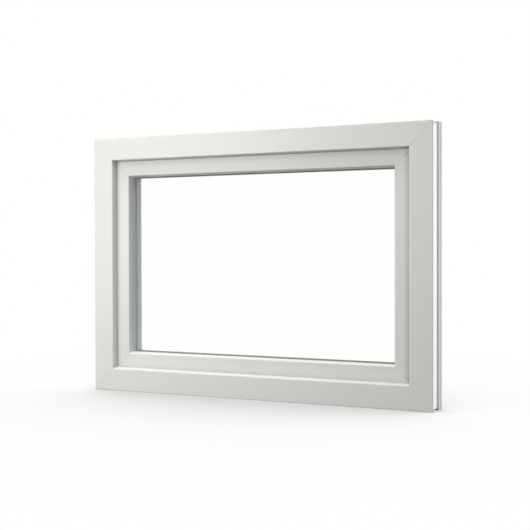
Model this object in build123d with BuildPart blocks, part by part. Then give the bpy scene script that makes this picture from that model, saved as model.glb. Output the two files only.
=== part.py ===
from math import sqrt
import os

from build123d import *

# A single-sash PVC window that opens inwards, in a 70 mm system, with 24 mm double glazing.
# All sizes are in millimetres. X runs along the width, Y from outside to inside, Z upwards.
# Every profile section is drawn with u from the outer edge of the frame towards the opening
# and v from the outside face of the frame towards the room.

# Overall size over the frame
WINDOW_WIDTH = 1070.0
WINDOW_HEIGHT = 750.0

# Walls of the hollow profiles
OUTER_WALL = 2.8
WEB = 1.4
WELD_SEAM = 0.4

# Frame profile
FRAME_DEPTH = 70.0
FRAME_FACE = 64.9
FRAME_EDGE_ROUND = 2.0
FRAME_LIP_ROUND = 3.0
FRAME_LIP_SLOPE = 4.1
FRAME_LIP_DEPTH = 16.2
REBATE_HEIGHT = 21.5
FIN_THICKNESS = 3.0
PERIMETER_RECESS = 5.0
PERIMETER_RECESS_END = 44.0
CLIP_GROOVE_START = 54.0
CLIP_GROOVE_WIDTH = 3.0
CLIP_GROOVE_DEPTH = 3.0
INNER_EDGE_ROUND = 1.5

# Sash profile
SASH_SETBACK = 18.5
SASH_FACE = 42.5
SASH_LIP_ROUND = 3.0
SASH_LIP_SLOPE = 4.5
SASH_LIP_DEPTH = 12.5
HARDWARE_GAP = 12.0
WING_OVERLAP = 8.0
WING_GAP = 4.0
WING_THICKNESS = 14.5
GLAZING_REBATE = 19.0
HARDWARE_GROOVE_WIDTH = 16.0
HARDWARE_GROOVE_DEPTH = 7.0
HARDWARE_GROOVE_OFFSET = 9.0

# Seals and the grooves that hold them
SEAL_GROOVE_WIDTH = 3.0
SEAL_GROOVE_DEPTH = 3.0
SEAL_GROOVE_SETBACK = 1.6
SEAL_HEAD_WIDTH = 7.0
GLAZING_SEAL_THICKNESS = 3.0
GLAZING_SEAL_SIGHT = 1.0
BEAD_SEAL_SIGHT = 2.3
SEAL_ROUND = 0.5
SEAL_INSET = 0.8

# Sealed glazing unit
PANE_THICKNESS = 4.0
CAVITY = 16.0
GLASS_EDGE_CLEARANCE = 5.0
EDGE_SEAL_HEIGHT = 4.0
SPACER_HEIGHT = 6.5
SPACER_WALL = 1.0

# Glazing bead
BEAD_WALL = 1.8
BEAD_SLOPE_WIDTH = 11.0
BEAD_SLOPE_DEPTH = 6.0
BEAD_FOOT_WIDTH = 3.4
BEAD_FOOT_HEIGHT = 3.7
BEAD_FOOT_INSET = 3.0
BEAD_CLEARANCE = 0.3

# Handle on the room side
HANDLE_BACKSET = 15.0
ROSE_WIDTH = 31.0
ROSE_HEIGHT = 72.0
ROSE_THICKNESS = 12.0
ROSE_EDGE_CHAMFER = 2.0
BOSS_RADIUS = 11.0
BOSS_HEIGHT = 2.0
BOSS_CHAMFER = 0.6
NECK_RADIUS = 7.5
LEVER_PROJECTION = 52.0
LEVER_THICKNESS = 13.0
LEVER_WIDTH = 21.0
LEVER_TIP_WIDTH = 17.0
LEVER_LENGTH = 118.0
LEVER_ROUND = 4.0
LEVER_BACK_CHAMFER = 1.5

# Hinges on the room side
HINGE_INSET = 78.0
HINGE_KNUCKLE_RADIUS = 7.0
HINGE_KNUCKLE_HEIGHT = 27.0
HINGE_KNUCKLE_GAP = 0.3
HINGE_PIN_RADIUS = 3.5
HINGE_PIN_CLEARANCE = 0.1
HINGE_PIN_HEAD = 2.0
HINGE_LEAF_THICKNESS = 3.0
HINGE_LEAF_WIDTH = 24.0
HINGE_LEAF_CORNER = 3.0
HINGE_LEAF_CHAMFER = 0.6
HINGE_WEB_WIDTH = 7.0
HINGE_AXIS_OFFSET = 9.0
HINGE_HEAD_CHAMFER = 0.8

# Places in the section that follow from the sizes above
LIP_TIP_U = FRAME_FACE + FRAME_LIP_SLOPE
REBATE_U = LIP_TIP_U - REBATE_HEIGHT
SASH_OUTER_U = REBATE_U + HARDWARE_GAP
WING_U = REBATE_U - WING_OVERLAP
SASH_FACE_END_U = LIP_TIP_U + SASH_FACE
SASH_TIP_U = SASH_FACE_END_U + SASH_LIP_SLOPE
GLAZING_BASE_U = SASH_TIP_U - GLAZING_REBATE
SASH_LIP_END_V = SASH_SETBACK + SASH_LIP_DEPTH
WING_V = FRAME_DEPTH + WING_GAP
SASH_INNER_V = WING_V + WING_THICKNESS
OUTER_PANE_V = SASH_LIP_END_V + GLAZING_SEAL_THICKNESS
CAVITY_V = OUTER_PANE_V + PANE_THICKNESS
INNER_PANE_V = CAVITY_V + CAVITY
UNIT_END_V = INNER_PANE_V + PANE_THICKNESS
BEAD_V = UNIT_END_V + GLAZING_SEAL_THICKNESS
GLASS_EDGE_U = GLAZING_BASE_U + GLASS_EDGE_CLEARANCE
HARDWARE_GROOVE_END_V = WING_V - HARDWARE_GROOVE_OFFSET
HARDWARE_GROOVE_V = HARDWARE_GROOVE_END_V - HARDWARE_GROOVE_WIDTH
LEVER_END_V = SASH_INNER_V + LEVER_PROJECTION

# The origin is in the middle of the width and of the overall depth, at the underside of the sill
FRONT_Y = -LEVER_END_V / 2
HALF_WIDTH = WINDOW_WIDTH / 2
MIDDLE_Z = WINDOW_HEIGHT / 2

# One drawing plane for each side: local x is u, local y is v, and the bar runs along local z
SIDE_PLANES = {
    "bottom": Plane((0, FRONT_Y, 0), x_dir=(0, 0, 1), z_dir=(-1, 0, 0)),
    "top": Plane((0, FRONT_Y, WINDOW_HEIGHT), x_dir=(0, 0, -1), z_dir=(1, 0, 0)),
    "left": Plane((-HALF_WIDTH, FRONT_Y, MIDDLE_Z), x_dir=(1, 0, 0), z_dir=(0, 0, 1)),
    "right": Plane((HALF_WIDTH, FRONT_Y, MIDDLE_Z), x_dir=(-1, 0, 0), z_dir=(0, 0, -1)),
}
HALF_LENGTHS = {
    "bottom": HALF_WIDTH,
    "top": HALF_WIDTH,
    "left": MIDDLE_Z,
    "right": MIDDLE_Z,
}


def corner(u, v, radius):
    """Round the corner of the outline that lies at u, v."""
    found = vertices().sort_by_distance((u, v))[0]
    fillet(found, radius)


def chamber_row(u_low, u_high, v_low, v_high, count):
    """Cut a row of equal chambers, with one web between each pair, out of the section."""
    depth = (v_high - v_low - (count - 1) * WEB) / count
    for number in range(count):
        start = v_low + number * (depth + WEB)
        with Locations(((u_low + u_high) / 2, start + depth / 2)):
            Rectangle(u_high - u_low, depth, mode=Mode.SUBTRACT)


def seal_groove(u_start, v_open, direction):
    """Cut the groove for a seal: it opens at v_open and runs along direction."""
    with Locations((u_start + SEAL_GROOVE_WIDTH / 2, v_open + direction * SEAL_GROOVE_DEPTH / 2)):
        Rectangle(SEAL_GROOVE_WIDTH, SEAL_GROOVE_DEPTH, mode=Mode.SUBTRACT)


def frame_section():
    """Draw the hollow frame section: fin, recessed perimeter, body and overlapping lip."""
    with BuildSketch() as section:
        with BuildLine():
            Polyline(
                (0, 0),
                (FRAME_FACE, 0),
                (LIP_TIP_U, FRAME_LIP_DEPTH),
                (REBATE_U, FRAME_LIP_DEPTH),
                (REBATE_U, FRAME_DEPTH),
                (0, FRAME_DEPTH),
                (0, PERIMETER_RECESS_END),
                (PERIMETER_RECESS, PERIMETER_RECESS_END),
                (PERIMETER_RECESS, FIN_THICKNESS),
                (0, FIN_THICKNESS),
                close=True,
            )
        make_face()
        corner(0, 0, FRAME_EDGE_ROUND)
        corner(FRAME_FACE, 0, FRAME_LIP_ROUND)
        corner(REBATE_U, FRAME_DEPTH, INNER_EDGE_ROUND)
        corner(0, FRAME_DEPTH, INNER_EDGE_ROUND)
        with Locations((CLIP_GROOVE_DEPTH / 2, CLIP_GROOVE_START + CLIP_GROOVE_WIDTH / 2)):
            Rectangle(CLIP_GROOVE_DEPTH, CLIP_GROOVE_WIDTH, mode=Mode.SUBTRACT)
        seal_groove(frame_seal_u(), FRAME_LIP_DEPTH, -1)
        body_end = REBATE_U - OUTER_WALL
        chamber_row(
            PERIMETER_RECESS + OUTER_WALL, body_end, OUTER_WALL, PERIMETER_RECESS_END, 3
        )
        rear_start = PERIMETER_RECESS_END + WEB
        chamber_row(CLIP_GROOVE_DEPTH + OUTER_WALL, body_end, rear_start, FRAME_DEPTH - OUTER_WALL, 2)
        lip_start = body_end + WEB
        lip_end = frame_seal_u() - WEB
        chamber_row(lip_start, lip_end, OUTER_WALL, FRAME_LIP_DEPTH - OUTER_WALL, 1)
    return section.sketch


def frame_seal_u():
    """Where the seal groove in the frame lip starts."""
    return LIP_TIP_U - SEAL_GROOVE_SETBACK - SEAL_GROOVE_WIDTH


def sash_seal_u():
    """Where the glazing seal groove in the sash lip starts."""
    return SASH_TIP_U - SEAL_GROOVE_SETBACK - SEAL_GROOVE_WIDTH


def wing_seal_u():
    """Where the seal groove in the sash wing starts."""
    return WING_U + SEAL_GROOVE_SETBACK


def sash_section():
    """Draw the hollow sash section: lip, glazing rebate, body, hardware groove and wing."""
    groove_bottom = SASH_OUTER_U + HARDWARE_GROOVE_DEPTH
    with BuildSketch() as section:
        with BuildLine():
            Polyline(
                (SASH_OUTER_U, SASH_SETBACK),
                (SASH_FACE_END_U, SASH_SETBACK),
                (SASH_TIP_U, SASH_LIP_END_V),
                (GLAZING_BASE_U, SASH_LIP_END_V),
                (GLAZING_BASE_U, SASH_INNER_V),
                (WING_U, SASH_INNER_V),
                (WING_U, WING_V),
                (SASH_OUTER_U, WING_V),
                (SASH_OUTER_U, HARDWARE_GROOVE_END_V),
                (groove_bottom, HARDWARE_GROOVE_END_V),
                (groove_bottom, HARDWARE_GROOVE_V),
                (SASH_OUTER_U, HARDWARE_GROOVE_V),
                close=True,
            )
        make_face()
        corner(SASH_FACE_END_U, SASH_SETBACK, SASH_LIP_ROUND)
        corner(WING_U, SASH_INNER_V, SASH_LIP_ROUND)
        foot_low = GLAZING_BASE_U - BEAD_FOOT_HEIGHT - BEAD_CLEARANCE
        foot_start = BEAD_V + BEAD_FOOT_INSET - BEAD_CLEARANCE
        foot_slot = BEAD_FOOT_WIDTH + 2 * BEAD_CLEARANCE
        with Locations(((foot_low + GLAZING_BASE_U) / 2, foot_start + foot_slot / 2)):
            Rectangle(GLAZING_BASE_U - foot_low, foot_slot, mode=Mode.SUBTRACT)
        seal_groove(sash_seal_u(), SASH_LIP_END_V, -1)
        seal_groove(wing_seal_u(), WING_V, 1)
        body_start = SASH_OUTER_U + OUTER_WALL
        body_end = foot_low - WEB
        front_end = HARDWARE_GROOVE_V - OUTER_WALL
        chamber_row(body_start, body_end, SASH_SETBACK + OUTER_WALL, front_end, 2)
        steel_start = front_end + WEB
        steel_end = HARDWARE_GROOVE_END_V + OUTER_WALL
        chamber_row(groove_bottom + OUTER_WALL, body_end, steel_start, steel_end, 1)
        rear_start = WING_V + SEAL_GROOVE_DEPTH + WEB
        chamber_row(WING_U + OUTER_WALL, body_end, rear_start, SASH_INNER_V - OUTER_WALL, 1)
        lip_start = GLAZING_BASE_U
        lip_end = sash_seal_u() - WEB
        lip_back = SASH_LIP_END_V - OUTER_WALL
        chamber_row(lip_start, lip_end, SASH_SETBACK + OUTER_WALL, lip_back, 1)
    return section.sketch


def bead_section():
    """Draw the hollow glazing bead with its clip foot and its slope towards the room."""
    bead_end_u = SASH_TIP_U
    with BuildSketch() as section:
        with BuildLine():
            Polyline(
                (GLAZING_BASE_U, BEAD_V),
                (bead_end_u, BEAD_V),
                (bead_end_u, SASH_INNER_V - BEAD_SLOPE_DEPTH),
                (bead_end_u - BEAD_SLOPE_WIDTH, SASH_INNER_V),
                (GLAZING_BASE_U, SASH_INNER_V),
                close=True,
            )
        make_face()
        corner(bead_end_u, SASH_INNER_V - BEAD_SLOPE_DEPTH, SASH_LIP_ROUND)
        corner(bead_end_u - BEAD_SLOPE_WIDTH, SASH_INNER_V, SASH_LIP_ROUND)
        chamber_row(
            GLAZING_BASE_U + BEAD_WALL,
            bead_end_u - BEAD_WALL,
            BEAD_V + BEAD_WALL,
            SASH_INNER_V - BEAD_SLOPE_DEPTH - BEAD_WALL,
            1,
        )
        foot_start = BEAD_V + BEAD_FOOT_INSET
        with Locations((GLAZING_BASE_U - BEAD_FOOT_HEIGHT / 2, foot_start + BEAD_FOOT_WIDTH / 2)):
            Rectangle(BEAD_FOOT_HEIGHT, BEAD_FOOT_WIDTH)
    return section.sketch


def seal_section(u_root, v_open, direction, u_low, u_high, thickness):
    """Draw a seal: a root that fills its groove and a head that bridges the gap."""
    with Locations((u_root + SEAL_GROOVE_WIDTH / 2, v_open + direction * SEAL_GROOVE_DEPTH / 2)):
        Rectangle(SEAL_GROOVE_WIDTH, SEAL_GROOVE_DEPTH)
    with Locations(((u_low + u_high) / 2, v_open - direction * thickness / 2)):
        Rectangle(u_high - u_low, thickness)


def frame_seal_section():
    """Draw the seal between the back of the frame lip and the outside face of the sash."""
    thickness = SASH_SETBACK - FRAME_LIP_DEPTH
    end = LIP_TIP_U - SEAL_INSET
    with BuildSketch() as section:
        seal_section(frame_seal_u(), FRAME_LIP_DEPTH, -1, end - SEAL_HEAD_WIDTH, end, thickness)
        corner(end, FRAME_LIP_DEPTH, SEAL_ROUND)
    return section.sketch


def wing_seal_section():
    """Draw the seal between the sash wing and the room side of the frame."""
    start = WING_U + SEAL_INSET
    with BuildSketch() as section:
        seal_section(wing_seal_u(), WING_V, 1, start, start + SEAL_HEAD_WIDTH, WING_GAP)
        corner(start, WING_V, SEAL_ROUND)
    return section.sketch


def outer_glazing_seal_section():
    """Draw the seal between the sash lip and the outer pane, with its visible edge."""
    sight = SASH_TIP_U + GLAZING_SEAL_SIGHT
    start = sash_seal_u() - SEAL_INSET
    with BuildSketch() as section:
        seal_section(sash_seal_u(), SASH_LIP_END_V, -1, start, sight, GLAZING_SEAL_THICKNESS)
        corner(sight, SASH_LIP_END_V, SEAL_ROUND)
    return section.sketch


def bead_seal_section():
    """Draw the soft edge of the bead that presses on the inner pane."""
    sight = SASH_TIP_U + BEAD_SEAL_SIGHT
    start = sight - SEAL_HEAD_WIDTH
    with BuildSketch() as section:
        with Locations(((start + sight) / 2, (UNIT_END_V + BEAD_V) / 2)):
            Rectangle(sight - start, GLAZING_SEAL_THICKNESS)
        corner(sight, BEAD_V, SEAL_ROUND)
    return section.sketch


def mitred_bar(name, side, section, seam_v=()):
    """Extrude a section along one side, cut both ends at 45 degrees and write the piece."""
    plane = SIDE_PLANES[side]
    half_length = HALF_LENGTHS[side]
    with BuildPart() as bar:
        with BuildSketch(plane):
            add(section)
        extrude(amount=half_length, both=True)
        for direction in (1, -1):
            corner_point = plane.from_local_coords((0, 0, direction * half_length))
            outward = plane.x_dir + plane.z_dir * direction
            split(bisect_by=Plane(corner_point, z_dir=outward), keep=Keep.BOTTOM)
            for face_v in seam_v:
                weld_groove(plane, corner_point + plane.y_dir * face_v, direction)
    bar.part.label = name
    export_step(bar.part, f"parts/{name}.step")


def weld_groove(plane, start, direction):
    """Cut half of the shallow V that cleaning leaves along a welded mitre, in one flat face."""
    diagonal = plane.x_dir - plane.z_dir * direction
    across = plane.x_dir + plane.z_dir * direction
    with BuildSketch(Plane(start, x_dir=across, z_dir=diagonal)) as groove:
        RegularPolygon(WELD_SEAM, 4)
    extrude(groove.sketch, amount=SASH_TIP_U * sqrt(2), mode=Mode.SUBTRACT)


def ring_of_bars(names, section, seam_v=()):
    """Make the four mitred lengths of one profile."""
    for side, name in names.items():
        mitred_bar(name, side, section, seam_v)


def side_names(prefix):
    """Name the four lengths of a profile after their sides."""
    return {side: f"{prefix}_{side}" for side in SIDE_PLANES}


def pane(name, v_start):
    """Make one pane of the sealed unit."""
    width = WINDOW_WIDTH - 2 * GLASS_EDGE_U
    height = WINDOW_HEIGHT - 2 * GLASS_EDGE_U
    with BuildPart() as glass:
        with BuildSketch(Plane((0, FRONT_Y + v_start, MIDDLE_Z), x_dir=(1, 0, 0), z_dir=(0, 1, 0))):
            Rectangle(width, height)
        extrude(amount=PANE_THICKNESS)
    glass.part.label = name
    export_step(glass.part, f"parts/{name}.step")


def cavity_ring(name, edge_u, height, depth_v, wall=None):
    """Make a ring that fills the cavity between the panes, hollow where it has a wall."""
    ring_plane = Plane((0, FRONT_Y + depth_v, MIDDLE_Z), x_dir=(1, 0, 0), z_dir=(0, 1, 0))
    with BuildPart() as ring:
        with BuildSketch(ring_plane):
            ring_outline(edge_u, edge_u + height)
        extrude(amount=CAVITY)
        if wall:
            with BuildSketch(ring_plane.offset(wall)):
                ring_outline(edge_u + wall, edge_u + height - wall)
            extrude(amount=CAVITY - 2 * wall, mode=Mode.SUBTRACT)
    ring.part.label = name
    export_step(ring.part, f"parts/{name}.step")


def ring_outline(u_outer, u_inner):
    """Draw a rectangular ring between two distances from the outer edge of the frame."""
    Rectangle(WINDOW_WIDTH - 2 * u_outer, WINDOW_HEIGHT - 2 * u_outer)
    Rectangle(WINDOW_WIDTH - 2 * u_inner, WINDOW_HEIGHT - 2 * u_inner, mode=Mode.SUBTRACT)


def handle():
    """Make the rose and the lever of the handle, with the lever hanging down, closed."""
    x = HALF_WIDTH - SASH_OUTER_U - HANDLE_BACKSET
    z = MIDDLE_Z
    inner_y = FRONT_Y + SASH_INNER_V
    rose_y = inner_y + ROSE_THICKNESS
    with BuildPart() as rose:
        with BuildSketch(Plane((x, inner_y, z), x_dir=(1, 0, 0), z_dir=(0, 1, 0))):
            SlotOverall(ROSE_HEIGHT, ROSE_WIDTH, rotation=90)
        extrude(amount=ROSE_THICKNESS)
        chamfer(rose.faces().sort_by(Axis.Y)[-1].edges(), ROSE_EDGE_CHAMFER)
        with BuildSketch(Plane((x, rose_y, z), x_dir=(1, 0, 0), z_dir=(0, 1, 0))):
            Circle(BOSS_RADIUS)
        extrude(amount=BOSS_HEIGHT)
        chamfer(rose.faces().sort_by(Axis.Y)[-1].edges(), BOSS_CHAMFER)
    rose.part.label = "handle_rose"
    export_step(rose.part, "parts/handle_rose.step")

    lever_y = inner_y + LEVER_PROJECTION
    lever_back_y = lever_y - LEVER_THICKNESS
    boss_y = rose_y + BOSS_HEIGHT
    with BuildPart() as lever:
        with BuildSketch(Plane((x, lever_y, z), x_dir=(-1, 0, 0), z_dir=(0, -1, 0))):
            with BuildLine():
                Polyline(
                    (-LEVER_WIDTH / 2, 0),
                    (-LEVER_TIP_WIDTH / 2, LEVER_LENGTH),
                    (LEVER_TIP_WIDTH / 2, LEVER_LENGTH),
                    (LEVER_WIDTH / 2, 0),
                    close=True,
                )
            make_face()
            Circle(LEVER_WIDTH / 2)
            with Locations((0, LEVER_LENGTH)):
                Circle(LEVER_TIP_WIDTH / 2)
        extrude(amount=LEVER_THICKNESS)
        fillet(lever.faces().sort_by(Axis.Y)[-1].edges(), LEVER_ROUND)
        chamfer(lever.faces().sort_by(Axis.Y)[0].edges(), LEVER_BACK_CHAMFER)
        with BuildSketch(Plane((x, boss_y, z), x_dir=(1, 0, 0), z_dir=(0, 1, 0))):
            Circle(NECK_RADIUS)
        extrude(amount=lever_back_y - boss_y)
    lever.part.label = "handle_lever"
    export_step(lever.part, "parts/handle_lever.step")


def hinge_half(name, z_low, near_x, far_x, leaf_y, axis_x, axis_y):
    """Make one half of a hinge: a leaf from near_x to far_x and a knuckle round the axis."""
    middle_y = leaf_y + HINGE_LEAF_THICKNESS / 2
    middle_z = z_low + HINGE_KNUCKLE_HEIGHT / 2
    with BuildPart() as half:
        with Locations(((near_x + far_x) / 2, middle_y, middle_z)):
            Box(abs(far_x - near_x), HINGE_LEAF_THICKNESS, HINGE_KNUCKLE_HEIGHT)
        corners = half.edges().filter_by(Axis.Y).sort_by(Axis.X)
        fillet(corners[-2:] if far_x > near_x else corners[:2], HINGE_LEAF_CORNER)
        chamfer(half.faces().sort_by(Axis.Y)[-1].edges(), HINGE_LEAF_CHAMFER)
        with BuildSketch(Plane.XY.offset(z_low)):
            with Locations((axis_x, (leaf_y + axis_y) / 2)):
                Rectangle(HINGE_WEB_WIDTH, abs(axis_y - leaf_y))
            with Locations((axis_x, axis_y)):
                Circle(HINGE_KNUCKLE_RADIUS)
        extrude(amount=HINGE_KNUCKLE_HEIGHT)
        with BuildSketch(Plane.XY.offset(z_low)):
            with Locations((axis_x, axis_y)):
                Circle(HINGE_PIN_RADIUS + HINGE_PIN_CLEARANCE)
        extrude(amount=HINGE_KNUCKLE_HEIGHT, mode=Mode.SUBTRACT)
    half.part.label = name
    export_step(half.part, f"parts/{name}.step")


def hinge(place, z_low):
    """Make one hinge: a lower half on the frame, an upper half on the sash and a pin."""
    edge_x = -HALF_WIDTH + WING_U
    axis_x = edge_x - HINGE_AXIS_OFFSET
    frame_y = FRONT_Y + FRAME_DEPTH
    sash_y = FRONT_Y + SASH_INNER_V
    axis_y = sash_y - HINGE_KNUCKLE_RADIUS + HINGE_LEAF_THICKNESS
    frame_near_x = axis_x + HINGE_WEB_WIDTH / 2
    frame_far_x = axis_x - HINGE_LEAF_WIDTH
    sash_far_x = edge_x + HINGE_LEAF_WIDTH
    frame_leaf = f"{place}_hinge_frame_leaf"
    sash_leaf = f"{place}_hinge_sash_leaf"
    upper_z = z_low + HINGE_KNUCKLE_HEIGHT + HINGE_KNUCKLE_GAP
    pin_top = upper_z + HINGE_KNUCKLE_HEIGHT + HINGE_KNUCKLE_GAP
    hinge_half(frame_leaf, z_low, frame_near_x, frame_far_x, frame_y, axis_x, axis_y)
    hinge_half(sash_leaf, upper_z, axis_x, sash_far_x, sash_y, axis_x, axis_y)
    with BuildPart() as pin:
        with BuildSketch(Plane((axis_x, axis_y, z_low))):
            Circle(HINGE_PIN_RADIUS)
        extrude(amount=pin_top - z_low)
        with BuildSketch(Plane((axis_x, axis_y, pin_top))):
            Circle(HINGE_KNUCKLE_RADIUS)
        extrude(amount=HINGE_PIN_HEAD)
        chamfer(pin.faces().sort_by(Axis.Z)[-1].edges(), HINGE_HEAD_CHAMFER)
    pin.part.label = f"{place}_hinge_pin"
    export_step(pin.part, f"parts/{place}_hinge_pin.step")


os.makedirs("parts", exist_ok=True)

FRAME_NAMES = {
    "bottom": "frame_sill",
    "top": "frame_head",
    "left": "frame_left_jamb",
    "right": "frame_right_jamb",
}
SASH_NAMES = {
    "bottom": "sash_bottom_rail",
    "top": "sash_top_rail",
    "left": "sash_left_stile",
    "right": "sash_right_stile",
}

ring_of_bars(FRAME_NAMES, frame_section(), (0, FRAME_DEPTH))
ring_of_bars(SASH_NAMES, sash_section(), (SASH_SETBACK, SASH_INNER_V))
ring_of_bars(side_names("glazing_bead"), bead_section())
ring_of_bars(side_names("frame_seal"), frame_seal_section())
ring_of_bars(side_names("wing_seal"), wing_seal_section())
ring_of_bars(side_names("outer_glazing_seal"), outer_glazing_seal_section())
ring_of_bars(side_names("bead_seal"), bead_seal_section())
cavity_ring("edge_sealant", GLASS_EDGE_U, EDGE_SEAL_HEIGHT, CAVITY_V)
cavity_ring("spacer_bar", GLASS_EDGE_U + EDGE_SEAL_HEIGHT, SPACER_HEIGHT, CAVITY_V, SPACER_WALL)
pane("outer_pane", OUTER_PANE_V)
pane("inner_pane", INNER_PANE_V)
handle()
hinge("upper", WINDOW_HEIGHT - HINGE_INSET - 2 * HINGE_KNUCKLE_HEIGHT)
hinge("lower", HINGE_INSET)
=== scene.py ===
import math

import bmesh
import bpy
from mathutils import Matrix, Vector


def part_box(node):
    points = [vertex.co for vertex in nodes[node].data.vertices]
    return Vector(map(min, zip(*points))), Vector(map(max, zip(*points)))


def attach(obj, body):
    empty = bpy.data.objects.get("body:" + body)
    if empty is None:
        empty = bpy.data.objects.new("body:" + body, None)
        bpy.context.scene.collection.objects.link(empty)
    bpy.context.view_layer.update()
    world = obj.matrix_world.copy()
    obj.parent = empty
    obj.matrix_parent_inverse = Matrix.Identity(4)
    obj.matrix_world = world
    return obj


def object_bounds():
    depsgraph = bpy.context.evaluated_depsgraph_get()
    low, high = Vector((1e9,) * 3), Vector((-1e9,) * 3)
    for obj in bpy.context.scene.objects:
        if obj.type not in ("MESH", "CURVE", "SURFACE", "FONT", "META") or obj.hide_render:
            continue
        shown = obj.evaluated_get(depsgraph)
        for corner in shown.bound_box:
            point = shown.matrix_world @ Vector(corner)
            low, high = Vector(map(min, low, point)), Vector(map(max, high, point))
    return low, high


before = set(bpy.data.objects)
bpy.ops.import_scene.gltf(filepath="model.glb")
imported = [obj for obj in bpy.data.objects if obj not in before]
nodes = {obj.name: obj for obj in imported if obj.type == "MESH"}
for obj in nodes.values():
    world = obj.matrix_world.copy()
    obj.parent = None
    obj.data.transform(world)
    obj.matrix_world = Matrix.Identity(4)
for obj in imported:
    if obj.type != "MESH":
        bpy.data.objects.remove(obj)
cad_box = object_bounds()

# Half the width, the middle height, half the height and the depth of the frame, in metres
HALF_WIDTH = cad_box[1][0]
MIDDLE_Z = (cad_box[0][2] + cad_box[1][2]) / 2
HALF_HEIGHT = (cad_box[1][2] - cad_box[0][2]) / 2
FRAME_DEPTH = 0.070
FRAME_MIDDLE_Y = cad_box[0][1] + FRAME_DEPTH / 2

# The outer side that lies in the wall, which carries painted shade, and the cleaned lines at the
# welded corners, in metres
SHADED_SIDE_BAND = 0.0045
SIDE_SHADE_STARTS = 0.0004
EDGE_SHADE_ENDS = 0.0032
WELD_LINE_WIDTH = 0.0016
WELD_LINE_SHADE = 0.10

# Inner corners get painted shade, from ambient occlusion, between these distances from the
# outline,
# in metres: on the profiles that holds the step from frame to sash, and on the beads all of them
STEP_FROM = 0.045
STEP_TO = 0.100
BEADS_TO = 0.2
STEP_REACH = 0.022
CORNER_SAMPLES = 8
# How much less painted shade a face that looks up gets, and how much more the right stile gets
UPWARD_SHADE_EASING = 1.3
RIGHT_STILE_SHADE_GAIN = 2.5

# Patterns: cells per metre, and how much each darkens the colour
DIE_LINES_ACROSS = 420.0
DIE_LINES_ALONG = 2.5
DIE_LINES_SHADE = 0.02
PVC_CLOUD = 7.0
PVC_CLOUD_ROUGHNESS = 0.6
PVC_CLOUD_SHADE = 0.035
PVC_GRAIN = 900.0
RUBBER_PORES = 1500.0
RUBBER_PORES_SHADE = 0.15
RUBBER_PATCHES = 40.0
RUBBER_PATCHES_SHADE = 0.2
ORANGE_PEEL = 420.0
PAINT_CLOUD = 30.0
PAINT_CLOUD_SHADE = 0.03
METAL_GRAIN = 260.0
METAL_GRAIN_SHADE = 0.12
GLASS_FILM = 5.0
FLOOR_GRAIN = 6.0
FLOOR_GRAIN_SHADE = 0.02

# Gloss: the lowest and highest roughness over a surface
PVC_GLOSS = (0.25, 0.37)
RUBBER_GLOSS = (0.55, 0.75)
PAINT_GLOSS = (0.26, 0.36)
METAL_GLOSS = (0.28, 0.45)
GLASS_GLOSS = (0.0, 0.012)

# Relief: strength, and height in metres
DIE_LINES_RELIEF = (0.08, 0.0002)
PVC_GRAIN_RELIEF = (0.1, 0.00008)
RUBBER_RELIEF = (0.3, 0.0001)
PAINT_RELIEF = (0.2, 0.00015)
METAL_RELIEF = (0.2, 0.0001)

PVC_IOR = 1.53
COATING_IOR = 1.5
GLASS_IOR = 1.52
METAL_SHARE = 0.15

# Colours, as linear reflectance
PVC_WHITE = (0.80, 0.80, 0.785, 1.0)
# Painted shade: the outer side greyer, its front edge darker still, and the inner corners darker
PVC_OUTER_SIDE_PAINTED_SHADE = (0.50, 0.50, 0.485, 1.0)
PVC_OUTER_EDGE_PAINTED_SHADE = (0.20, 0.20, 0.195, 1.0)
PVC_CORNER_PAINTED_SHADE = (0.33, 0.345, 0.365, 1.0)
SEAL_LIGHT = (0.82, 0.83, 0.83, 1.0)
SEAL_UPRIGHT = (0.60, 0.61, 0.62, 1.0)
# Painted shade: the seals that run across are a darker copy of the upright ones
SEAL_ACROSS_PAINTED_SHADE = (0.34, 0.345, 0.345, 1.0)
SPACER_METAL = (0.84, 0.86, 0.88, 1.0)
SEALANT_BLACK = (0.012, 0.012, 0.013, 1.0)
PAINTED_WHITE = (0.80, 0.80, 0.79, 1.0)
GLASS_SEEN = (0.992, 1.0, 0.994, 1.0)
GLASS_LETS_THROUGH = (0.955, 0.975, 0.965, 1.0)
FULL_WHITE = (1.0, 1.0, 1.0, 1.0)


def node_tree(name):
    """Make a material with an empty node tree and its output."""
    material = bpy.data.materials.new(name)
    material.use_nodes = True
    tree = material.node_tree
    tree.nodes.clear()
    output = tree.nodes.new("ShaderNodeOutputMaterial")
    return material, tree, output


def add(tree, kind, inputs=None, **settings):
    """Add one node and set its fields and its inputs."""
    node = tree.nodes.new(kind)
    for field, value in settings.items():
        setattr(node, field, value)
    for socket, value in (inputs or {}).items():
        if isinstance(value, bpy.types.NodeSocket):
            tree.links.new(value, node.inputs[socket])
        else:
            node.inputs[socket].default_value = value
    return node


def object_place(tree):
    """The point's place on its object, in metres."""
    return add(tree, "ShaderNodeTexCoord").outputs["Object"]


def noise(tree, place, scale, detail, **more):
    """Make a noise pattern from 0 to 1."""
    sockets = {"Vector": place, "Scale": scale, "Detail": detail, **more}
    return add(tree, "ShaderNodeTexNoise", sockets).outputs[0]


def between(tree, factor, limits):
    """Turn a factor from 0 to 1 into a number between two limits."""
    low, high = limits
    return add(tree, "ShaderNodeMapRange", {0: factor, 3: low, 4: high}).outputs[0]


def relief(tree, height, strength_and_distance, under=None):
    """Bump the surface by a pattern, on top of another bump if there is one."""
    strength, distance = strength_and_distance
    sockets = {"Strength": strength, "Distance": distance, "Height": height}
    if under is not None:
        sockets["Normal"] = under
    return add(tree, "ShaderNodeBump", sockets).outputs[0]


def join(tree, operation, first, second):
    """Join two values by one math operation."""
    return add(tree, "ShaderNodeMath", {0: first, 1: second}, operation=operation).outputs[0]


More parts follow.
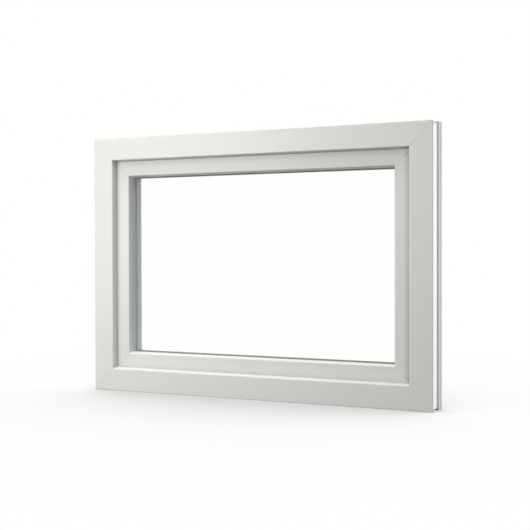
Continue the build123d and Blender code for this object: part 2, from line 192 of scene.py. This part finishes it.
def chain(tree, value, *steps):
    """Pass a value through a row of math nodes.

    Each step is an operation, the side that its number stands on, and that number: "by" puts it
    second, and "from" puts it first.
    """
    for operation, side, number in steps:
        pair = (number, value) if side == "from" else (value, number)
        value = join(tree, operation, *pair)
    return value


def blend_colours(tree, factor, first, second):
    """Mix two colours by a factor."""
    sockets = {0: factor, 6: first, 7: second}
    return add(tree, "ShaderNodeMix", sockets, data_type="RGBA").outputs[2]


def shade(tree, colour, factor, amount):
    """Darken a colour a little where the factor is low."""
    sockets = {0: 1.0, 6: colour, 7: between(tree, factor, (1.0 - amount, 1.0))}
    mix = add(tree, "ShaderNodeMix", sockets, data_type="RGBA", blend_type="MULTIPLY")
    return mix.outputs[2]


def mix_shaders(tree, output, factor, first, second):
    """Show the first shader where the factor is 0, and the second where it is 1."""
    sockets = {0: factor, 1: first.outputs[0], 2: second.outputs[0]}
    mix = add(tree, "ShaderNodeMixShader", sockets)
    tree.links.new(mix.outputs[0], output.inputs[0])


def principled(tree, output, sockets):
    """Give a material its surface."""
    surface = add(tree, "ShaderNodeBsdfPrincipled", sockets)
    tree.links.new(surface.outputs[0], output.inputs[0])


def edge_distances(tree, place):
    """How far a point lies inside the frame's outline: from its sides, its ends and its faces."""
    axes = add(tree, "ShaderNodeSeparateXYZ", {0: place})
    distances = []
    for axis, middle, half in (
        (0, 0.0, HALF_WIDTH),
        (2, MIDDLE_Z, HALF_HEIGHT),
        (1, FRAME_MIDDLE_Y, FRAME_DEPTH / 2),
    ):
        from_middle = chain(
            tree, axes.outputs[axis], ("SUBTRACT", "by", middle), ("ABSOLUTE", "by", 0.0)
        )
        distances.append(chain(tree, from_middle, ("SUBTRACT", "from", half)))
    return distances


def corner_painted_shade(tree, nearest, corners_to, corner_gain):
    """How deep the painted shade of an inner corner is: 0 on open faces, less where it faces up.
    """
    open_share = add(
        tree, "ShaderNodeAmbientOcclusion", {"Distance": STEP_REACH}, samples=CORNER_SAMPLES
    )
    sunk = chain(tree, open_share.outputs["AO"], ("SUBTRACT", "from", 1.0))
    for operation, limit in (("GREATER_THAN", STEP_FROM), ("LESS_THAN", corners_to)):
        sunk = join(tree, "MULTIPLY", sunk, chain(tree, nearest, (operation, "by", limit)))
    normal = add(tree, "ShaderNodeNewGeometry").outputs["Normal"]
    upward = add(tree, "ShaderNodeSeparateXYZ", {0: normal}).outputs[2]
    kept = chain(
        tree,
        upward,
        ("MULTIPLY", "by", UPWARD_SHADE_EASING),
        ("SUBTRACT", "from", 1.0),
        ("MULTIPLY", "by", corner_gain),
    )
    return join(tree, "MULTIPLY", sunk, kept)


def outer_side_painted_shade(tree, from_side, nearest, from_face):
    """1 on the outer side that lies in the wall, and the painted shade colour there, darkest at
    its edge.
    """
    near_outline = chain(tree, nearest, ("LESS_THAN", "by", SHADED_SIDE_BAND))
    behind_face = chain(tree, from_face, ("GREATER_THAN", "by", SIDE_SHADE_STARTS))
    behind_edge = chain(tree, from_face, ("GREATER_THAN", "by", EDGE_SHADE_ENDS))
    not_on_side = chain(tree, from_side, ("GREATER_THAN", "by", SHADED_SIDE_BAND))
    past_edge = join(tree, "MAXIMUM", behind_edge, not_on_side)
    colour = blend_colours(tree, past_edge, PVC_OUTER_EDGE_PAINTED_SHADE, PVC_OUTER_SIDE_PAINTED_SHADE)
    return join(tree, "MULTIPLY", near_outline, behind_face), colour


def pvc(name, length_axis, corners_to=STEP_TO, corner_gain=1.0):
    """Extruded white PVC: faint die lines along the bar, fine grain and uneven gloss.

    The outer side carries painted shade, darkest at its front edge, the inner corners carry
    painted shade, less where a face looks up, and the welded corners keep a fine cleaned line.
    """
    material, tree, output = node_tree(name)
    place = object_place(tree)
    stretch = [DIE_LINES_ACROSS] * 3
    stretch[length_axis] = DIE_LINES_ALONG
    along = add(tree, "ShaderNodeMapping", {"Vector": place, "Scale": stretch}).outputs[0]
    die_lines = noise(tree, along, 1.0, 3.0)
    cloud = noise(tree, place, PVC_CLOUD, 4.0, Roughness=PVC_CLOUD_ROUGHNESS)
    grain = noise(tree, place, PVC_GRAIN, 2.0)
    from_side, from_end, from_face = edge_distances(tree, place)
    nearest = join(tree, "MINIMUM", from_side, from_end)
    # Painted shade on the outer side, darkest at its front edge
    on_shaded_side, side_shade_colour = outer_side_painted_shade(tree, from_side, nearest, from_face)
    colour = blend_colours(tree, on_shaded_side, PVC_WHITE, side_shade_colour)
    # Painted shade in the inner corners
    sunk = corner_painted_shade(tree, nearest, corners_to, corner_gain)
    colour = blend_colours(tree, sunk, colour, PVC_CORNER_PAINTED_SHADE)
    colour = shade(tree, colour, cloud, PVC_CLOUD_SHADE)
    colour = shade(tree, colour, die_lines, DIE_LINES_SHADE)
    clear_of_weld = chain(
        tree,
        join(tree, "SUBTRACT", from_side, from_end),
        ("ABSOLUTE", "by", 0.0),
        ("DIVIDE", "by", WELD_LINE_WIDTH),
        ("MINIMUM", "by", 1.0),
    )
    colour = shade(tree, colour, clear_of_weld, WELD_LINE_SHADE)
    lines_relief = relief(tree, die_lines, DIE_LINES_RELIEF)
    principled(
        tree,
        output,
        {
            "Base Color": colour,
            "Roughness": between(tree, cloud, PVC_GLOSS),
            "IOR": PVC_IOR,
            "Normal": relief(tree, grain, PVC_GRAIN_RELIEF, under=lines_relief),
        },
    )
    return material


def rubber(name, tone):
    """Matt extruded seal with a fine pore grain."""
    material, tree, output = node_tree(name)
    place = object_place(tree)
    pores = noise(tree, place, RUBBER_PORES, 3.0)
    patches = noise(tree, place, RUBBER_PATCHES, 3.0)
    colour = shade(tree, tone, patches, RUBBER_PATCHES_SHADE)
    principled(
        tree,
        output,
        {
            "Base Color": shade(tree, colour, pores, RUBBER_PORES_SHADE),
            "Roughness": between(tree, patches, RUBBER_GLOSS),
            "IOR": COATING_IOR,
            "Normal": relief(tree, pores, RUBBER_RELIEF),
        },
    )
    return material


def painted(name, tone):
    """Powder-coated metal with a fine orange peel."""
    material, tree, output = node_tree(name)
    place = object_place(tree)
    peel = noise(tree, place, ORANGE_PEEL, 1.5)
    cloud = noise(tree, place, PAINT_CLOUD, 3.0)
    principled(
        tree,
        output,
        {
            "Base Color": shade(tree, tone, cloud, PAINT_CLOUD_SHADE),
            "Roughness": between(tree, cloud, PAINT_GLOSS),
            "IOR": COATING_IOR,
            "Normal": relief(tree, peel, PAINT_RELIEF),
        },
    )
    return material


def dull_metal(name, tone):
    """Pale dull metal with a fine mottled grain."""
    material, tree, output = node_tree(name)
    grain = noise(tree, object_place(tree), METAL_GRAIN, 4.0)
    principled(
        tree,
        output,
        {
            "Base Color": shade(tree, tone, grain, METAL_GRAIN_SHADE),
            "Metallic": METAL_SHARE,
            "Roughness": between(tree, grain, METAL_GLOSS),
            "Normal": relief(tree, grain, METAL_RELIEF),
        },
    )
    return material


def clear_glass(name):
    """Clear float glass. Lamps shine through it, and its faint dust dulls the gloss unevenly."""
    material, tree, output = node_tree(name)
    film = noise(tree, object_place(tree), GLASS_FILM, 5.0)
    surface = add(
        tree,
        "ShaderNodeBsdfPrincipled",
        {
            "Base Color": GLASS_SEEN,
            "Roughness": between(tree, film, GLASS_GLOSS),
            "IOR": GLASS_IOR,
            "Transmission Weight": 1.0,
        },
    )
    let_through = add(tree, "ShaderNodeBsdfTransparent", {"Color": GLASS_LETS_THROUGH})
    rays = add(tree, "ShaderNodeLightPath").outputs
    soft = join(tree, "MAXIMUM", rays["Is Shadow Ray"], rays["Is Diffuse Ray"])
    mix_shaders(tree, output, soft, surface, let_through)
    return material


across = pvc("pvc_along_width", 0)
upright = pvc("pvc_along_height", 2)
# A copy with deeper painted shade in its inner corner
shaded_upright = pvc("pvc_right_stile_painted_shade", 2, corner_gain=RIGHT_STILE_SHADE_GAIN)
bead_across = pvc("bead_along_width", 0, corners_to=BEADS_TO)
bead_upright = pvc("bead_along_height", 2, corners_to=BEADS_TO)
light_seal = rubber("seal_light", SEAL_LIGHT)
seal_upright = rubber("seal_upright", SEAL_UPRIGHT)
seal_across_painted_shade = rubber("seal_across_painted_shade", SEAL_ACROSS_PAINTED_SHADE)
sealant = rubber("sealant_black", SEALANT_BLACK)
spacer = dull_metal("spacer_aluminium", SPACER_METAL)
coat = painted("painted_white", PAINTED_WHITE)
glass = clear_glass("float_glass")


def material_for(name):
    """Choose the finish of one CAD piece by what it is and by which way it runs."""
    if name.startswith(("frame_seal", "wing_seal", "bead_seal_left", "bead_seal_right")):
        return light_seal
    runs_up = name.endswith(("_left", "_right")) or "jamb" in name or "stile" in name
    # Seals that run across take the copy darkened as painted shade
    if "_seal_" in name:
        return seal_upright if runs_up else seal_across_painted_shade
    # The right stile takes the copy with deeper painted corner shade
    if name == "sash_right_stile":
        return shaded_upright
    if name.startswith("glazing_bead"):
        return bead_upright if runs_up else bead_across
    if name.endswith("_pane"):
        return glass
    if name == "spacer_bar":
        return spacer
    if name == "edge_sealant":
        return sealant
    if name.startswith("handle") or "hinge" in name:
        return coat
    return upright if runs_up else across


for name, piece in nodes.items():
    piece.data.materials.clear()
    piece.data.materials.append(material_for(name))

# A hair's breadth keeps the glass off the seals that press on it, so that light reaches them
PANES = ("outer_pane", "inner_pane")
PANE_GAP = 0.00005
for name in PANES:
    gap = nodes[name].modifiers.new("seal_gap", "DISPLACE")
    gap.strength = -PANE_GAP
    gap.mid_level = 0.0

# Screw heads on the hinge leaves, in metres
SCREW_RADIUS = 0.0034
SCREW_TOP_RADIUS = 0.0029
SCREW_RISE = 0.0009
RECESS_FLOOR = 0.00012
CROSS_REACH = 0.0019
CROSS_HALF_WIDTH = 0.0005
OUTLINE_POINTS = 24
LEAF_THICKNESS = 0.003
SCREW_FROM_LEAF_SIDE = 0.009
SCREW_FROM_LEAF_END = 0.007


def put_in_scene(name, data):
    """Make an object of a mesh, a lamp or a camera and add it to the scene."""
    thing = bpy.data.objects.new(name, data)
    bpy.context.scene.collection.objects.link(thing)
    return thing


def cross_outline():
    """Points round a cross recess: its corners and the middles between them."""
    corners = []
    for quarter in range(4):
        cos, sin = round(math.cos(quarter * math.pi / 2)), round(math.sin(quarter * math.pi / 2))
        for x, z in (
            (CROSS_HALF_WIDTH, CROSS_HALF_WIDTH),
            (CROSS_HALF_WIDTH, CROSS_REACH),
            (-CROSS_HALF_WIDTH, CROSS_REACH),
        ):
            corners.append(Vector((x * cos - z * sin, x * sin + z * cos)))
    points = []
    for at, corner in enumerate(corners):
        points += [corner, (corner + corners[(at + 1) % len(corners)]) / 2]
    return points


def circle_outline(radius):
    """Points round a circle that pair with those of the cross."""
    turns = [math.pi / 4 + step * 2 * math.pi / OUTLINE_POINTS for step in range(OUTLINE_POINTS)]
    return [Vector((radius * math.cos(turn), radius * math.sin(turn))) for turn in turns]


def screw_head(name, place):
    """Add one raised screw head that faces the room, with a cross recess."""
    mesh = bmesh.new()
    rings = []
    for outline, rise in (
        (circle_outline(SCREW_RADIUS), 0.0),
        (circle_outline(SCREW_RADIUS), SCREW_RISE / 2),
        (circle_outline(SCREW_TOP_RADIUS), SCREW_RISE),
        (cross_outline(), SCREW_RISE),
        (cross_outline(), RECESS_FLOOR),
    ):
        rings.append([mesh.verts.new((point.x, rise, point.y)) for point in outline])
    for low, high in zip(rings, rings[1:]):
        for at in range(OUTLINE_POINTS):
            after = (at + 1) % OUTLINE_POINTS
            mesh.faces.new((low[at], low[after], high[after], high[at]))
    mesh.faces.new(rings[0])
    mesh.faces.new(rings[-1])
    bmesh.ops.recalc_face_normals(mesh, faces=mesh.faces)
    data = bpy.data.meshes.new(name)
    mesh.to_mesh(data)
    mesh.free()
    data.materials.append(coat)
    piece = put_in_scene(name, data)
    piece.location = place
    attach(piece, "root")


for height in ("lower", "upper"):
    for half in ("frame", "sash"):
        low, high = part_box(f"{height}_hinge_{half}_leaf")
        if half == "frame":
            x, y = low[0] + SCREW_FROM_LEAF_SIDE, low[1] + LEAF_THICKNESS
        else:
            x, y = high[0] - SCREW_FROM_LEAF_SIDE, high[1]
        for end, z in (
            ("bottom", low[2] + SCREW_FROM_LEAF_END),
            ("top", high[2] - SCREW_FROM_LEAF_END),
        ):
            screw_head(f"{height}_hinge_{half}_screw_{end}", (x, y, z))

# Camera: the photograph's viewing angle, solved from the straight edges of the frame, with the
# width of its sensor and its focal length in millimetres
CAMERA_PLACE = Vector((1.5318, -2.81875, 0.4219))
CAMERA_RIGHT = Vector((0.87983168, 0.47528024, -0.00221706))
CAMERA_UP = Vector((-0.00499055, 0.01390267, 0.9998909))
CAMERA_BACK = Vector((0.47525921, -0.87972462, 0.01460392))
SENSOR_WIDTH = 36.0
FOCAL_LENGTH = 76.8
camera_data = bpy.data.cameras.new("camera")
camera_data.sensor_width = SENSOR_WIDTH
camera_data.lens = FOCAL_LENGTH
camera = put_in_scene("camera", camera_data)
turn = Matrix((CAMERA_RIGHT, CAMERA_UP, CAMERA_BACK)).transposed()
camera.matrix_world = Matrix.Translation(CAMERA_PLACE) @ turn.to_4x4()
bpy.context.scene.camera = camera

# Floor: white, with the object's shadow painted on it as a glow that ambient occlusion dims, and
# fading into the white background. It lies a hair below the sill, so that the two don't coincide
FLOOR_HALF = 14.0
FLOOR_DROP = 0.0002
FLOOR_TONE = (0.18, 0.18, 0.18, 1.0)
SHADOW_REACH = 1.6
SHADOW_SAMPLES = 16
SHADOW_DEPTH = 0.37
SHADOW_FADE = 1.9
DARKEST_SHADOW = 0.68
floor_mesh = bpy.data.meshes.new("floor")
corner_signs = ((-1, -1), (1, -1), (1, 1), (-1, 1))
floor_corners = [(x * FLOOR_HALF, y * FLOOR_HALF, 0) for x, y in corner_signs]
floor_mesh.from_pydata(floor_corners, [], [(0, 1, 2, 3)])
floor = put_in_scene("floor", floor_mesh)
floor.location.z = -FLOOR_DROP


def seen_by_eye(tree):
    """1 for rays that show a surface: straight from the camera, mirrored, or through glass."""
    rays = add(tree, "ShaderNodeLightPath").outputs
    seen = rays["Is Camera Ray"]
    for kind in ("Is Glossy Ray", "Is Transmission Ray"):
        seen = join(tree, "MAXIMUM", seen, rays[kind])
    return seen


floor_paint, tree, output = node_tree("floor_white")
grain = noise(tree, object_place(tree), FLOOR_GRAIN, 3.0)
floor_colour = shade(tree, FLOOR_TONE, grain, FLOOR_GRAIN_SHADE)
matt = add(tree, "ShaderNodeBsdfDiffuse", {"Color": floor_colour})
# The shadow is painted: a glow that ambient occlusion dims, not shade cast by the lamps
occlusion = add(
    tree, "ShaderNodeAmbientOcclusion", {"Distance": SHADOW_REACH}, samples=SHADOW_SAMPLES
)
shadow_glow = chain(
    tree,
    occlusion.outputs["AO"],
    ("SUBTRACT", "from", 1.0),
    ("MULTIPLY", "by", 2.0),
    ("POWER", "by", SHADOW_FADE),
    ("MULTIPLY", "by", SHADOW_DEPTH),
    ("SUBTRACT", "from", 1.0),
    ("MAXIMUM", "by", DARKEST_SHADOW),
)
shown = add(tree, "ShaderNodeEmission", {"Color": FULL_WHITE, "Strength": shadow_glow})
mix_shaders(tree, output, seen_by_eye(tree), matt, shown)
floor_mesh.materials.append(floor_paint)

# World: white where it is seen, and a soft even fill on the object
WORLD_FILL = 0.63
WORLD_TINT = (0.965, 0.983, 1.0, 1.0)
world = bpy.data.worlds.new("studio")
bpy.context.scene.world = world
world.use_nodes = True
tree = world.node_tree
tree.nodes.clear()
output = tree.nodes.new("ShaderNodeOutputWorld")
fill = add(tree, "ShaderNodeBackground", {"Color": WORLD_TINT, "Strength": WORLD_FILL})
backdrop = add(tree, "ShaderNodeBackground", {"Color": FULL_WHITE, "Strength": 1.0})
mix_shaders(tree, output, seen_by_eye(tree), fill, backdrop)


def soft_lamp(name, place, target, width, height, power, colour, spread):
    """Add a rectangular studio lamp that faces a point."""
    data = bpy.data.lights.new(name, "AREA")
    data.shape = "RECTANGLE"
    data.size = width
    data.size_y = height
    data.energy = power
    data.color = colour
    data.spread = math.radians(spread)
    lamp = put_in_scene(name, data)
    lamp.location = place
    lamp.rotation_euler = (Vector(target) - Vector(place)).to_track_quat("-Z", "Y").to_euler()
    return lamp


# The panes mirror the white backdrop alone, so that no lamp shows in them
panes = bpy.data.collections.new("panes_without_glare")
for name in PANES:
    panes.objects.link(nodes[name])
for entry in panes.collection_objects:
    entry.light_linking.link_state = "EXCLUDE"

WARM = (1.0, 0.988, 0.93)
PLAIN = (1.0, 1.0, 1.0)
# name, place, what it faces, width, height, power in watts, colour, spread in degrees
LAMPS = [
    ("near_left", (-0.8, -1.1, 0.55), (-0.5, 0, 0.35), 0.8, 0.8, 4.7, WARM, 180),
    ("low_front", (-0.8, -3.0, 0.9), (0, 0, 0.4), 2.0, 1.2, 14.0, WARM, 180),
    ("top_high", (-0.9, -0.7, 2.7), (-0.4, -0.07, 0.2), 1.0, 0.7, 10.5, WARM, 180),
    ("top_wide", (-0.3, -0.4, 2.4), (-0.3, -0.07, 0.2), 1.0, 0.5, 3.2, WARM, 75),
    ("side_strip", (2.0, 0.05, 0.45), (0.5, 0, 0.4), 0.10, 1.2, 24, PLAIN, 180),
    ("room_soft", (-0.6, 2.4, 1.8), (0.0, 0, 0.4), 2.0, 2.0, 22, PLAIN, 180),
]
for lamp in LAMPS:
    soft_lamp(*lamp).light_linking.receiver_collection = panes

# The narrow strip lamp lights the outer side of the frame alone, and no gloss mirrors it
sides = bpy.data.collections.new("frame_sides")
for name in ("frame_head", "frame_sill", "frame_left_jamb", "frame_right_jamb"):
    sides.objects.link(nodes[name])
side_strip = bpy.data.objects["side_strip"]
side_strip.light_linking.receiver_collection = sides
side_strip.visible_glossy = False

bpy.context.scene.view_settings.view_transform = "Standard"
